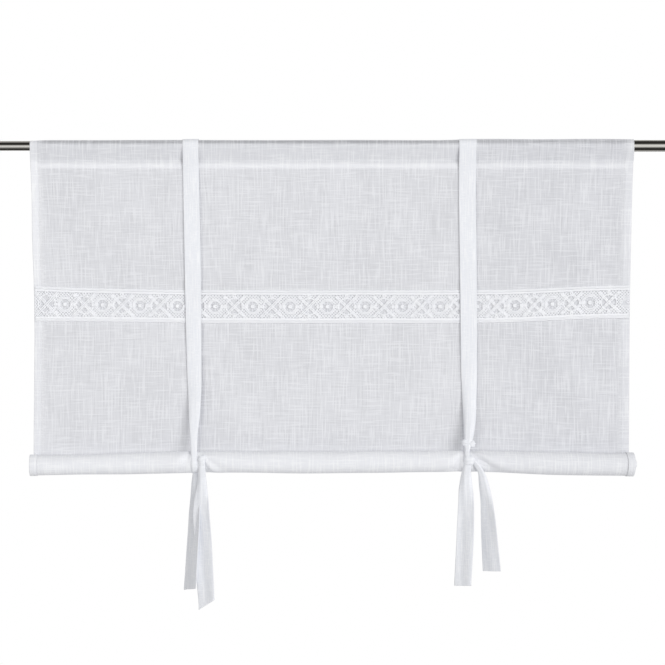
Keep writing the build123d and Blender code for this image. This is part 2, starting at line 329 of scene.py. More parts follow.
def drawn_steel():
    """Bright drawn stainless tube, with painted reflections: long pale and dark bands all round it,
    and painted shade on its top.
    """
    material, tree = new_material("stainless_tube_drawn")
    place = add(tree, "TexCoord").outputs["Object"]
    x, y, z = add(tree, "SeparateXYZ", (place,)).outputs
    turn = add(tree, "Math", (z, y), operation="ARCTAN2")
    along = add(tree, "Math", (x, 0.6), operation="MULTIPLY")
    sine = add(tree, "Math", (turn,), operation="SINE")
    cosine = add(tree, "Math", (turn,), operation="COSINE")
    round_tube = add(tree, "CombineXYZ", (along, sine, cosine))
    broad = add(tree, "TexNoise", {"Vector": round_tube, "Scale": 2.2, "Detail": 1.0})
    fine = add(tree, "TexNoise", {"Vector": round_tube, "Scale": 34.0, "Detail": 2.0})
    # Painted reflections: five pale bands round the tube, which wind slowly along it.
    winding = add(tree, "Math", (x, 0.8, -1.75), operation="MULTIPLY_ADD")
    painted_reflections = add(tree, "Math", (turn, 5.0, winding), operation="MULTIPLY_ADD")
    painted_reflections = add(tree, "Math", (painted_reflections,), operation="SINE")
    painted_reflections = add(tree, "Math", (painted_reflections, 0.5, 0.5), operation="MULTIPLY_ADD")
    painted_reflections = add(tree, "Math", (fine, 0.3, painted_reflections), operation="MULTIPLY_ADD")
    # Painted shade: the bands are darker towards the top of the tube.
    painted_reflections = add(tree, "Math", (z, -22.0, painted_reflections), operation="MULTIPLY_ADD")
    pale = add(tree, "MapRange", {"Value": painted_reflections, "From Min": 0.42, "From Max": 1.22})
    tone = add(tree, "Mix", {0: pale, A: colour("#2C2A28"), B: colour("#DAD8D2")}, **RGBA)
    rough = add(tree, "Math", (broad, 0.1, 0.12), operation="MULTIPLY_ADD")
    bump = add(tree, "Bump", {"Height": fine, "Strength": 0.08, "Distance": 0.0002})
    look = {"Base Color": tone, "Metallic": 1.0, "Roughness": rough, "Normal": bump}
    look["Specular Tint"] = colour("#6A6967")
    add(tree, "OutputMaterial", {"Surface": add(tree, "BsdfPrincipled", look)})
    return material


def moulded_plastic():
    """Light grey moulded polyethylene with a fine spark-eroded grain."""
    material, tree = new_material("polyethylene_moulded")
    place = add(tree, "TexCoord").outputs["Object"]
    grain = add(tree, "TexNoise", {"Vector": place, "Scale": 1500.0, "Detail": 2.0})
    mottle = add(tree, "TexNoise", {"Vector": place, "Scale": 90.0})
    tone = add(tree, "Mix", {0: mottle, A: colour("#C6C6C6"), B: colour("#D2D2D1")}, **RGBA)
    rough = add(tree, "Math", (grain, 0.15, 0.45), operation="MULTIPLY_ADD")
    bump = add(tree, "Bump", {"Height": grain, "Strength": 0.15, "Distance": 0.0001})
    look = {"Base Color": tone, "Roughness": rough, "IOR": 1.51, "Normal": bump}
    add(tree, "OutputMaterial", {"Surface": add(tree, "BsdfPrincipled", look)})
    return material


# ---------------- places measured on the blind

EDGE_Z = (-565, -500, -489, -443, -314, -257, -211, -147, -93, -70, -24, 12)
LEFT_EDGE = (
    -498.5, -498.0, -498.0, -497.5, -496.4, -497.0, -498.4, -500.9, -501.2, -501.9, -504.0, -504.0,
)
RIGHT_EDGE = (492.5, 492.5, 492.5, 492.8, 493.6, 494.2, 495.0, 496.5, 497.6, 498.3, 500.0, 501.0)

ROLL_X = (-506, -388, -305, -246, -230, -196, 0, 195, 225, 261, 344, 444, 508)
ROLL_RISE = (-5.0, -3.0, -1.2, -0.1, 0.4, 0.8, 0.0, 2.0, 2.6, 2.2, -1.2, -3.2, -3.2)
ROLL_RADIUS = (18.0, 17.8, 18.8, 19.6, 18.6, 19.0, 19.2, 19.3, 18.4, 19.1, 19.9, 20.6, 20.3)

LACE_X = (-504, -440, -330, -200, 0, 200, 270, 340, 420, 500)
LACE_TOP = (-233.5, -236.4, -239.2, -240.8, -241.1, -240.7, -240.4, -238.2, -234.6, -232.5)
LACE_BOTTOM = (-292.0, -291.4, -292.6, -294.2, -294.3, -294.2, -294.0, -291.2, -287.4, -286.0)


def side_edges(z):
    """x of the cloth's left and right edge at each height."""
    return smooth(z, EDGE_Z, LEFT_EDGE, 12), smooth(z, EDGE_Z, RIGHT_EDGE, 12)


def lace_limits(x):
    """z of the lace's bottom and top edge at each x."""
    return smooth(x, LACE_X, LACE_BOTTOM, 25), smooth(x, LACE_X, LACE_TOP, 25)


def roll_axis(x):
    """The roll's axis (y, z) and its outermost radius at each x."""
    radius = smooth(x, ROLL_X, ROLL_RADIUS, 18)
    rise = smooth(x, ROLL_X, ROLL_RISE, 18)
    return PANEL_Y - radius, ROLL_Z + rise, radius


def drop_y(x, z, roll_z=ROLL_Z):
    """How far back the flat drop lies: long slack folds, and upright creases over the knots.

    A crease is a cosine of the distance from the knot, with its first valley on the right and a
    slope up to the strip on the left. It fades sideways, and upwards over some 60 mm.
    """
    share = np.clip((SEAM_TOP - z) / (SEAM_TOP - roll_z), 0, 1)
    slack = 0.9 * np.sin(x / 83 + 0.4) * np.cos(z / 160 + x / 400)
    slack = slack + 0.5 * np.sin(x / 37 + z / 210 + 2)
    slack = slack + 0.25 * np.sin(z / 23 + x / 190) * np.cos(x / 61)
    near = np.exp(-np.abs(z - roll_z - 34) / 60) * (1 - step(-z, 500, 525))
    crease = 0.0
    for knot in KNOTS:
        away = x - knot
        wave = np.where(away > -1, np.cos((away - 11) / 5.1), np.cos((away + 25) / 5.1))
        crease = crease + wave * bell(away, 0, 27) * (1 - 0.8 * bell(away, -1, 5))
    # A sharp upright fold stands out to the right of the left strip, below the lace.
    sharp = 2.3 * bell(x, -202.0 - (z + 410) / 20, 3.2) * bell(z, -402, 30)
    return PANEL_Y + np.sin(np.pi * share) ** 0.7 * slack + 1.1 * near * crease - sharp


FOLDS = (
    # x and z a fold runs out from, towards the right (1) or left (-1), its direction below the
    # level in radians, its half width in radians, how far it stands out, and where it is highest
    (-217.0, -512.0, 1, 0.30, 0.22, 1.6, 12.0), (-217.0, -514.0, 1, 0.66, 0.16, -2.2, 16.0),
    (-217.0, -514.0, 1, 0.98, 0.18, 2.6, 22.0), (-217.0, -514.0, 1, 1.28, 0.20, -3.4, 24.0),
    (-236.0, -506.0, -1, 1.25, 0.24, -3.2, 22.0), (-237.0, -508.0, -1, 0.75, 0.30, 1.4, 18.0),
    (230.0, -507.0, 1, 0.50, 0.17, 5.6, 18.0), (230.0, -517.0, 1, 0.52, 0.28, -4.4, 17.0),
    (231.0, -528.0, 1, 1.10, 0.30, -4.0, 9.0), (210.0, -508.0, -1, 1.40, 0.26, -4.6, 26.0),
    (210.0, -508.0, -1, 0.75, 0.25, 1.2, 20.0),
)


def gathers(x, around):
    """How far the roll's outer turn is drawn in or stands out near the knots.

    In the unrolled cloth a fold is a ray from its point: a bell across its direction, which grows
    with the distance f from the point and dies away after its highest place h: f/h * exp(1 - f/h).
    Under the strips the front of the roll is drawn in.
    """
    total = np.zeros(np.broadcast(x, around).shape)
    for fold_x, fold_z, side, direction, spread, height, highest in FOLDS:
        z, radius = roll_axis(fold_x)[1:]
        dx = (x - fold_x) * side
        ds = around + np.arcsin(np.clip((fold_z - z) / radius, -1, 1)) * radius
        far = np.hypot(dx, ds) / highest
        ray = bell(np.arctan2(ds, dx), direction, spread + 0.08 / (far + 0.2))
        total += height * ray * far * np.exp(1 - far) * step(dx, -8, 4)
    for knot in KNOTS:
        total -= 2.0 * bell(x, knot, 10) * bell(around, 2, 20)
    return total * (1 - 0.8 * step(around, 16, 27))


# ---------------- the sheer cloth

BEHIND, POCKET, DROP, ROLL = range(4)  # the cloth's parts, from its turned top edge on
SPAN = 480.0  # half the width that the columns between the hems are spread over
WIDE_STEP, FINE_STEP = 8.0, 1.8  # from column to column, far from the knots and beside them

HEM_SECTION = np.array([
    # A side hem is turned twice, with its raw edge between the front layer and the back one:
    # how far in from the blind's edge, how deep, and its place in the weave's pattern.
    (1.2, 0.45, 39.6), (4, 0.45, 37), (8, 0.45, 33), (11.6, 0.45, 29.2), (HEM_WIDTH, 0.7, 27),
    (11.6, 0.95, 24.8), (8, 0.95, 21), (4, 0.95, 17), (1.2, 0.95, 14), (0.3, 0.8, 13),
    (0.0, 0.45, 12.5), (0.3, 0.1, 12), (1.2, 0, 11), (4, 0, 8.5), (8, 0, 4.5), (11.6, 0, 1),
    (HEM_WIDTH, 0, 0),
])


def cloth_columns():
    """Places between the side hems as shares of the way, closer together near the knots."""
    x = np.linspace(-SPAN, SPAN, 5000)
    more = 1 / FINE_STEP - 1 / WIDE_STEP
    want = 1 / WIDE_STEP + sum(more * bell(x, knot + 6, 38) for knot in KNOTS)
    total = np.cumsum(want)
    count = int(total[-1] * (x[1] - x[0])) + 1
    middle = np.interp(np.linspace(total[0], total[-1], count), total, x)
    return (middle + SPAN) / (2 * SPAN)


def cloth_rows():
    """Rows (part, value) from the turned edge at the pocket's back to the core of the roll.

    The value is how far along its part the row lies, from 0 to 1, and in the roll the angle turned.
    """
    turn = 2 * np.pi
    parts = (
        (BEHIND, np.linspace(0, 1, 9)),
        (POCKET, np.linspace(0, 1, 34)[1:]),
        (DROP, np.linspace(0, 1, 126)[1:]),
        (ROLL, np.linspace(0, turn, 64)[1:]),
        (ROLL, np.linspace(turn, 2 * turn, 30)[1:]),
        (ROLL, np.linspace(2 * turn, ROLL_TURNS * turn, 24 * (ROLL_TURNS - 2))[1:]),
    )
    return np.concatenate([stacked(np.full_like(v, part), v) for part, v in parts])


def pocket_side(share, radius, lift):
    """The pocket's side view from the back of the seam over the rod to the front of the seam.

    Two tangents from the seam to a circle and the arc between them; its upper half is stretched
    upwards by the lift, where the cloth stands off the rod.
    """
    reach = np.arccos(radius / -SEAM_TOP)
    back, front = -np.pi / 2 + reach, -np.pi / 2 - reach + 2 * np.pi
    line = -SEAM_TOP * np.sin(reach)
    arc = (front - back) * radius
    along = share * (2 * line + arc)
    angle = np.clip(back + (along - line) / radius, back, front)
    y, z = radius * np.cos(angle), radius * np.sin(angle)
    first = np.clip(along / line, 0, 1)
    last = np.clip((along - line - arc) / line, 0, 1)
    y = y * first * (1 - last) + 0.75 * (1 - first) + PANEL_Y * last
    z = z * first * (1 - last) + SEAM_TOP * (1 - first + last)
    return y, np.where(z > 0, z * (1 + lift / radius), z)


def roll_side(x, turn):
    """The roll's side view: a spiral that starts at its back and runs under, up the front and over.

    Its size falls evenly with the turn to the core, plus the folds and waves of the outer turn.
    The turns under it are drawn in at the knots.
    """
    y, z, radius = roll_axis(x)
    size = ROLL_CORE + (radius - ROLL_CORE) * (1 - turn / (2 * np.pi * ROLL_TURNS))
    around = (np.pi - turn) * radius
    drawn = gathers(x, around) * step(turn, 0.3, 1.2) * (1 - step(turn, 5.9, 7.5))
    softly = 0.35 * np.sin(x / 52 + 1.5 * turn) + 0.25 * np.sin(x / 23 - turn * 2 + 1)
    drawn = drawn + softly * step(turn, 0.3, 1.5)
    pinch = sum(2.8 * bell(x, knot, 11) for knot in KNOTS) * step(turn, 5.9, 7.5)
    size = np.maximum(size + drawn - pinch, 1.2)
    return y + size * np.cos(turn), z - size * np.sin(turn)


def cloth_tones(part, turn, x, from_edge, pocket_y, pocket_z, drop_z):
    """How white each point is, and how much it covers of what is behind it, both from 0 to 1.

    The cloth is whiter and closer where it lies double or triple: in the hems, the seam, the
    pocket and the roll, and under the lace. Painted light makes it whiter still in the pocket, most
    in its middle, under the lace, just above the roll, and towards the top of the hems, most on the
    left.
    Painted shade makes its right third and its right hem greyer, and makes the pocket less white
    and most open where it bends over the rod, so that the painted dark top of the rod shows through
    as a line of shade.
    """
    in_pocket, in_drop, in_roll = part == POCKET, part == DROP, part == ROLL
    hem = step(-from_edge, -HEM_WIDTH - 0.6, -HEM_WIDTH + 0.6)
    seam = step(-drop_z, -SEAM_TOP - 2, -SEAM_TOP + 7) * (1 - step(-drop_z, 35.8, 39.0)) * in_drop
    rolled = in_roll * step(turn, 0.2, 1.2) + 0 * x
    # Painted shade: where the pocket bends over the rod it is made less white and more open, so
    # that the painted dark top of the rod shows through as a line of shade.
    bend = bell(np.degrees(np.arctan2(pocket_z, -pocket_y)), 39, 22) * (pocket_y < 0)
    bend = in_pocket * bend * step(x, -498, -470)
    pocket = in_pocket * (1 - bend)
    low, high = lace_limits(x)
    lace = in_drop * step(drop_z, low - 1, low + 3) * (1 - step(drop_z, high - 3, high + 1))
    lace_edge = in_drop * (bell(drop_z, low + 2.4, 4) + bell(drop_z, high - 2.4, 4))
    # Painted light: the flat drop is made whiter just above the roll, in the shaded valley between
    # them.
    roll_z, radius = roll_axis(x)[1:]
    painted_light_over_roll = in_drop * bell(drop_z, roll_z + radius + 1, 6)
    # Painted shade: the right third of the cloth is made greyer than the rest, with less white and
    # more cover.
    grey = step(x, 180, 320)
    # Painted light and shade on the hems: whiter towards the top, and less white on the right than
    # on the left.
    painted_shade_rightwards = step(x, -100, 300)
    hem_layers_and_painted_light = 0.66 - 0.2 * painted_shade_rightwards + (0.34 - 0.24 * painted_shade_rightwards) * step(drop_z, -320, -150)
    # Painted light: the pocket is made whiter, most in its middle, against the dark rod inside it,
    # and the cloth under the lace is made whiter against the shadow of its threads.
    white = np.maximum.reduce([
        hem * hem_layers_and_painted_light, seam * (0.86 - 0.18 * grey), rolled * (0.82 - 0.18 * grey),
        pocket * (0.3 + 0.15 * bell(x, 0, 200) - 0.25 * grey),
        painted_light_over_roll * 0.4, lace_edge * 0.65, lace * 0.3,
    ])
    cover = np.maximum.reduce([hem, seam, 0.62 + 0.3 * pocket + 0.2 * grey, lace_edge, lace * 0.8])
    return white, np.where(in_roll, 1.0, np.minimum(cover, 1.0) - 0.62 * bend)


def make_cloth(material):
    """The whole cloth as one sheet: rows along it and columns across it, hems turned in.

    Gives the piece and its length from its top edge to the core, measured along the surface.
    """
    share = cloth_columns()
    inward, depth, pattern = HEM_SECTION.T
    rows = cloth_rows()
    part, value = rows[:, :1], rows[:, 1:]
    hem = len(inward)
    columns = 2 * hem + len(share) - 2

    height = np.where(part == BEHIND, SEAM_BOTTOM, np.where(part == POCKET, 0, -525.0))
    height = np.where(part == DROP, SEAM_TOP + value * (ROLL_Z - SEAM_TOP), height)
    left, right = side_edges(height)
    turn = np.where(part == ROLL, value, 0)
    # The roll's ends stand out, and its inner turns step in on the left and out on the right.
    outwards = step(turn, 0.0, 1.4)
    inner = np.clip(turn / (2 * np.pi) - 1, 0, ROLL_TURNS)
    left = left - outwards * (3.6 + 0.5 * np.sin(1.3 * inner + 1)) + 0.4 * inner * outwards
    bulge = 4.2 + 3.2 * np.cos((turn - np.pi) / 1.15) * (turn < 2 * np.pi)
    right = right + outwards * (bulge + 1.2 * inner)

    x = np.empty((len(rows), columns))
    x[:, :hem] = left + inward
    x[:, -hem:] = right - inward[::-1]
    x[:, hem:-hem] = share[1:-1] * (right - left - 2 * HEM_WIDTH - 2) + left + HEM_WIDTH + 1
    layer = np.zeros(columns)
    layer[:hem] = depth
    layer[-hem:] = depth[::-1]
    across = np.empty(columns)
    across[:hem] = pattern
    across[-hem:] = CLOTH_WIDTH + HEM_EXTRA - pattern[::-1]
    across[hem:-hem] = HEM_EXTRA + share[1:-1] * (CLOTH_WIDTH - HEM_EXTRA)

    # Behind the seam: down inside, a small fold, and up the back.
    inside = value < 0.5
    behind_y = np.where(inside, 0.15, 0.75) + (layer > 0) * step(value, 0.0, 0.02)
    down, up = SEAM_TOP - 0.8 - value * 2 * 10.4, SEAM_BOTTOM + (value - 0.5) * 2 * 11.6
    behind_z = np.where(inside, down, up)
    # Pocket: smaller over the inner tube, and standing off the rod towards the right.
    thin = step(-x, -TUBE_MOUTH - 6, -TUBE_MOUTH + 34)
    lift = 1.6 * step(x, 170, 240) + 0.5 * np.sin(x / 31) * step(x, 200, 300)
    lift = lift + 0.2 * np.sin(x / 47 + 1) - 0.3
    pocket_y, pocket_z = pocket_side(value, POCKET_RADIUS - 0.8 * thin, lift - 0.6 * thin)
    roll_z = roll_axis(x)[1]
    drop_z = SEAM_TOP + value * (roll_z - SEAM_TOP)
    rolled_y, rolled_z = roll_side(x, turn)
    parts = [part == BEHIND, part == POCKET, part == DROP]
    y = np.select(parts, [behind_y, pocket_y, drop_y(x, drop_z, roll_z)], rolled_y)
    z = np.select(parts, [behind_z, pocket_z, drop_z], rolled_z)

    # Hem layers lie on the inner side: behind the flat drop, inside the pocket and the roll.
    points = stacked(x, y, z)
    flow = unit(np.gradient(points[:, columns // 2, 1:], axis=0))
    inner_side = stacked(-flow[:, 1], flow[:, 0])
    inner_side[part[:, 0] == BEHIND] = (0.5, 0.0)
    points[..., 1:] += inner_side[:, None, :] * layer[None, :, None]

    along = lengths_along(points[:, columns // 2])
    uv = stacked(across[None, :], -along[:, None])
    from_edge = np.minimum(x - left, right - x)
    white, cover = cloth_tones(part, turn, x, from_edge, pocket_y, pocket_z, drop_z)
    faces = grid_faces(len(rows), columns)
    cloth = put_mesh("sheer_cloth", points, faces, material, uv, {"cover": cover, "white": white})
    return cloth, along[-1]


# ---------------- strips of the bands

BAND_COLUMNS = 25  # points across a strip

BAND_SIDE = (
    # a band's side view (y, z): up the front, over the pocket and down the back
    (-29.0, -498.0), (-22.4, -474.5), (-15.0, -449.5), (-9.0, -427.0), (-5.8, -403.0),
    (-4.4, -370.0), (-4.2, -310.0), (-4.6, -292.0), (-4.6, -238.0), (-3.4, -215.0),
    (-2.8, -160.0), (-2.8, -60.0), (-3.6, -36.0), (-7.0, -21.0), (-10.3, -8.0), (-11.3, -1.0),
    (-10.5, 4.4), (-7.9, 8.0), (-4.2, 10.5), (0.2, 11.3), (4.4, 10.4), (8.0, 8.0), (10.7, 4.2),
    (11.6, -2.0), (10.6, -60.0), (9.0, -160.0), (7.4, -260.0), (5.8, -360.0), (4.2, -450.0),
    (2.6, -500.0),
)

BANDS = (
    # name, front leg (z, x, width), pleat phase, how full its section is over the knot, its lean
    (
        "left",
        (
            (-545, -229.8, 8.8), (-526, -229.8, 9.0), (-503, -230.3, 9.8), (-473, -230.9, 12.8),
            (-451, -230.0, 17.4), (-401, -229.8, 22.6), (-380, -230.6, 23.6), (-306, -231.8, 25.6),
            (-240, -232.6, 27.0), (-90, -235.5, 26.8), (-40, -236.6, 26.4), (12, -237.1, 26.0),
        ),
        0.4, 0.22, -0.16,
    ),
    (
        "right",
        (
            (-545, 222.0, 5.0), (-505, 222.2, 5.0), (-492, 223.8, 12.5), (-480, 225.0, 15.5),
            (-451, 227.1, 21.0), (-380, 226.3, 26.4), (-306, 225.8, 27.6), (-240, 225.5, 28.0),
            (-90, 223.4, 28.2), (-40, 223.8, 28.6), (12, 224.2, 28.8),
        ),
        1.9, 0.7, 0.0,
    ),
)


def curled(width, columns):
    """The section of a band drawn together to a width: its edges curl back into a tube.

    The cloth stays BAND_WIDTH wide, bent to an arc of radius r = BAND_WIDTH / (2 turn) with angles
    from -turn to turn. The arc is 2 r sin(turn) wide up to a quarter turn, and 2 r past it.
    """
    turns = np.linspace(1e-3, 3.2, 400)
    wide = np.where(turns < np.pi / 2, np.sin(turns) / turns, 1 / turns) * BAND_WIDTH
    turn = np.interp(-np.minimum(width, BAND_WIDTH - 0.01), -wide, turns)[..., None]
    angle = turn * np.linspace(-1, 1, columns)
    sideways = np.sin(angle) / np.sin(np.minimum(turn, np.pi / 2)) * width[..., None] / 2
    return sideways, BAND_WIDTH / 2 / turn * (1 - np.cos(angle))


def cloth_wall(piece):
    """Gives a strip of band cloth its thickness."""
    wall = piece.modifiers.new("cloth thickness", "SOLIDIFY")
    wall.thickness = BAND_THICKNESS / 1000
    wall.offset = 0
    return piece


def band_path(knot):
    """A band's side view (y, z) in even steps, from under the front of the roll to its underside.

    Both ends follow the roll, and the knot hides where they meet.
    """
    z, radius = roll_axis(knot)[1:]
    y = PANEL_Y - radius
    ends = []
    for degrees, outside in (
        ((-70, -95, -120, -150, -180, -212), -1.0),
        ((0, -25, -50, -75, -97), np.array((1.2, 1.2, 1.0, 0.4, -0.9))),
    ):
        angle = np.radians(degrees)
        size = radius + outside
        ends.append(stacked(y + size * np.cos(angle), z + size * np.sin(angle)))
    return through(np.concatenate([ends[0], BAND_SIDE, ends[1]]), 420)


def band_loop(side, knot, leg, phase, full, lean, material):
    """The strip from its knot up the front, over the pocket, down the back and under the roll.

    Its edges curl back where it is drawn together, and it waves a little where it is wide.
    """
    y, z = band_path(knot).T
    leg_z, leg_x, leg_width = (np.array(column) for column in zip(*leg))
    steps = np.arange(len(z))
    down_back = steps > np.argmax(z)
    shift = step(-z, 0, 120) * 4.0 * (1 - step(-z, 400, 520))
    back_x = smooth(z, (-545, -500, 12), (knot, knot + 1.0, leg_x[-1]), 12) + shift
    back_width = (7.0, 8.0, 13.0, 20.0, BAND_WIDTH, BAND_WIDTH)
    back_width = smooth(z, (-560, -542, -520, -470, -400, 12), back_width, 8)
    x = np.where(down_back, back_x, smooth(z, leg_z, leg_x, 10))
    width = np.where(down_back, back_width, smooth(z, leg_z, leg_width, 9))
    loose = (1 - down_back) * step(-z, 30, 60) * (1 - step(-z, 430, 470))
    y = y + loose * (drop_y(x, z) - PANEL_Y)
    centre = stacked(x, y, z)
    tangent = unit(np.gradient(centre, axis=0))
    across = unit(np.array([1.0, 0.0, 0.0]) - tangent * tangent[:, :1])
    inward = np.cross(tangent, across)

    sideways, depth = curled(width, BAND_COLUMNS)
    v = np.linspace(-1, 1, BAND_COLUMNS)[None]
    steps = steps[:, None]
    flat = step(width, 16, 25)[:, None]
    fuller = np.where(down_back, 0.12, 0.4 + (full - 0.4) * step(z, -512, -475))[:, None]
    pleats = 0.5 * np.sin(3 * np.pi * v + phase + steps / 40) * (1 - flat)
    depth = fuller * (depth + pleats)
    leaning = lean * bell(z, -410, 28) * (1 - down_back)
    depth = depth + leaning[:, None] * sideways
    depth = depth + flat * (0.3 * v * np.sin(steps / 19) + 0.2 * np.sin(steps / 8 + 2 * v))
    points = centre[:, None] + across[:, None] * sideways[..., None]
    points = points + inward[:, None] * depth[..., None]
    uv = stacked(BAND_WIDTH / 2 * v, lengths_along(centre)[:, None])
    faces = grid_faces(len(z), BAND_COLUMNS)[..., ::-1]
    return cloth_wall(put_mesh(f"tie_band_{side}_loop", points, faces, material, uv))


TAILS = (
    # name, band, (z, left edge, right edge) rows, cut's rise to the right, slope, depth at the roll
    # and below it, phase
    (
        "left_front", 0,
        (
            (-523, -220.5, -213.0), (-530, -223.2, -213.4), (-543, -223.8, -212.6),
            (-563, -225.6, -210.5), (-586, -231.0, -207.5), (-614, -233.9, -205.6),
            (-644, -232.0, -202.7), (-674, -230.0, -200.7), (-714, -228.0, -198.7),
            (-756, -224.3, -197.0), (-764, -223.6, -197.0),
        ),
        17.6, -0.5, -39.2, -34.0, 0.3,
    ),
    (
        "left_rear", 0,
        (
            (-536, -232.5, -225.0), (-546, -234.0, -224.5), (-559, -236.0, -223.0),
            (-586, -238.0, -221.5), (-614, -240.9, -222.0), (-644, -242.6, -223.0),
            (-674, -244.9, -225.0), (-715, -247.4, -227.0), (-739, -249.4, -228.0),
        ),
        5.0, -1.4, -20.0, -22.0, 1.2,
    ),
    (
        "right_front", 1,
        (
            (-497, 219.2, 225.4), (-512, 219.2, 225.4), (-520, 219.2, 228.5), (-530, 217.2, 229.4),
            (-543, 214.9, 229.2), (-558, 211.9, 231.0), (-573, 209.6, 233.6), (-594, 208.7, 234.4),
            (-614, 207.8, 234.6), (-644, 206.2, 234.2), (-674, 204.9, 232.9), (-706, 203.4, 231.2),
            (-732, 202.2, 229.6),
        ),
        1.0, -0.47, -39.6, -36.0, 0.6,
    ),
    (
        "right_rear", 1,
        (
            (-522, 226.5, 232.5), (-526, 230.8, 238.8), (-534, 237.5, 246.6), (-544, 243.0, 252.6),
            (-558, 242.8, 258.0), (-573, 244.5, 261.7), (-594, 246.4, 266.1), (-614, 246.6, 269.0),
            (-644, 247.3, 272.2), (-674, 248.6, 275.2), (-708, 250.4, 279.2),
        ),
        1.0, -0.75, -39.2, -36.0, 2.0,
    ),
)


def make_tail(name, band, table, rise, slope, top_y, hang_y, phase, material):
    """A hanging end of a band, between its measured left and right edges from top to bottom.

    It starts curled up at the knot and opens out as it hangs. The slope turns it about the upright:
    y = slope * x across it, growing downwards. The end is cut on the slant, so the steps along
    each edge end at a different height.
    """
    z, left, right = (np.array(column, float) for column in zip(*table))
    z = EYE_Z + (z - EYE_Z) * NEARER
    left, right = left * NEARER, right * NEARER
    rows = 130
    t = np.linspace(0, 1, rows)[:, None]
    v = np.linspace(-1, 1, BAND_COLUMNS)[None, :]
    bottom = z[-1] + rise / 2 * v
    height = z[0] + (bottom - z[0]) * t
    lefts = smooth(height, z[::-1], left[::-1], 8)
    rights = smooth(height, z[::-1], right[::-1], 8)
    width = smooth(height[:, BAND_COLUMNS // 2], z[::-1], (right - left)[::-1], 8)
    sideways, depth = curled(width, BAND_COLUMNS)
    spread = sideways / np.maximum(width, 1)[:, None]
    x = (lefts + rights) / 2 + spread * (rights - lefts)

    # It follows the front of the roll down to the knot, and hangs free below it.
    knot_z = roll_axis(KNOTS[band])[1]
    radius = roll_axis(x)[2]
    off_axis = np.clip(height - knot_z, -60, 18)
    front = PANEL_Y - radius - np.sqrt(np.maximum(radius**2 - off_axis**2, 0))
    on_roll = front + PANEL_Y + 2 * radius + top_y
    hang = hang_y + 2.0 * np.sin(t * 5 + phase) + 3.0 * t
    lower = step(-height, -knot_z + 4, -knot_z + 30)
    y = np.where(height > knot_z - 4, on_roll, hang + (top_y - hang) * (1 - lower))
    loose = step(-height, 545, 620)
    y = y + 0.7 * depth * (1 - loose) + slope * (0.4 + 0.6 * loose) * spread * (rights - lefts)
    waves = np.sin(2.2 * v + phase + 2.5 * t) + 0.4 * np.sin(4.5 * v - 6 * t + 2 * phase)
    y = y + loose * waves
    y = y + 0.4 * (1 - loose) * np.sin(3 * np.pi * v + phase)
    uv = stacked(BAND_WIDTH / 2 * v, -height)
    points = stacked(x, y, height)
    faces = grid_faces(rows, BAND_COLUMNS)
    return cloth_wall(put_mesh(f"tie_band_{name}_tail", points, faces, material, uv))


WRAPS = (
    # name, centre, ring's half width and half depth, tilt in radians, height, share that is drawn
    # in, and how far the cloth bows out
    ("left_knot", (-216.4, -36.6, -520.5), (4.6, 3.2), 0.25, 14.5, 0.0, 1.9),
    ("right_bow", (224.6, -25.6, -494.2), (9.4, 2.4), -0.12, 11.0, 0.7, 1.7),
    ("right_knot", (225.2, -38.2, -521.5), (6.6, 3.0), 0.08, 15.5, 0.1, 1.9),
)


def make_wrap(name, centre, size, tilt, tall, pinched, full, material):
    """The knot's turn round the strips: a gathered band on an oval ring, leaning by the tilt.

    Ring: (a cos s, b sin s). Its height is tall at the sides and drawn in by the pinched share in
    front, like a bow. Across it the cloth bows out by the full half depth, with folds along the
    ring that run together where it is drawn in. Inside the ring the cloth fills the hole, so that
    no gap shows beside the strips.
    """
    rows, columns = 96, 36
    s = np.linspace(0, 2 * np.pi, rows, endpoint=False)[:, None]
    v = np.linspace(0, 2 * np.pi, columns, endpoint=False)[None, :]
    lobes = 1 - pinched * bell(np.cos(s), 0, 0.42) - 0.25 * np.abs(np.cos(s)) ** 6
    half = tall / 2 * (lobes + 0.08 * np.sin(2 * s + 0.6))
    out = full * (0.55 + 0.45 * lobes) + 0.5 * np.cos(4 * v + 1.5 * np.sin(s))
    out = out + 0.3 * np.sin(6 * v + 2 * s)
    across, deep = (a + np.cos(v) * np.where(np.cos(v) > 0, out, a) for a in size)
    x = across * np.cos(s)
    y = deep * np.sin(s)
    z = np.sin(v) * half + np.tan(tilt) * x + 0.6 * np.sin(2 * s + 0.8)
    points = stacked(x, y, z) + centre
    uv = stacked(v * 4.3, s * 6.0)
    faces = grid_faces(rows, columns, close_rows=True, close_columns=True)
    return put_mesh(f"tie_band_{name}", points, faces, material, uv)


# ---------------- lace

LACE_REPEAT = 62.9  # from ring to ring, with a cross halfway
LACE_SHIFT = -7.7  # a ring's place next to the blind's middle
LACE_TALL = 54.0  # the lace's height, as its pattern is drawn
LACE_END = 499.6  # its cords stop here, from the middle
NET_PITCH = 5.2
CROSS_END = 20.5  # how far the beads round a cross lie from its middle


def on_lace(x, up, out):
    """A point of the lace: x, height as a share from its bottom edge to its top, and how far out.

    x is for a cloth as wide as CLOTH_WIDTH, and is stretched to the cloth's own edges.
    """
    x = np.clip(x, -LACE_END, LACE_END)
    low, high = lace_limits(x)
    z = low + (high - low) * up
    left, right = side_edges(z)
    wide = left + (x + CLOTH_WIDTH / 2) / CLOTH_WIDTH * (right - left)
    return stacked(wide, drop_y(wide, z) - out, z)


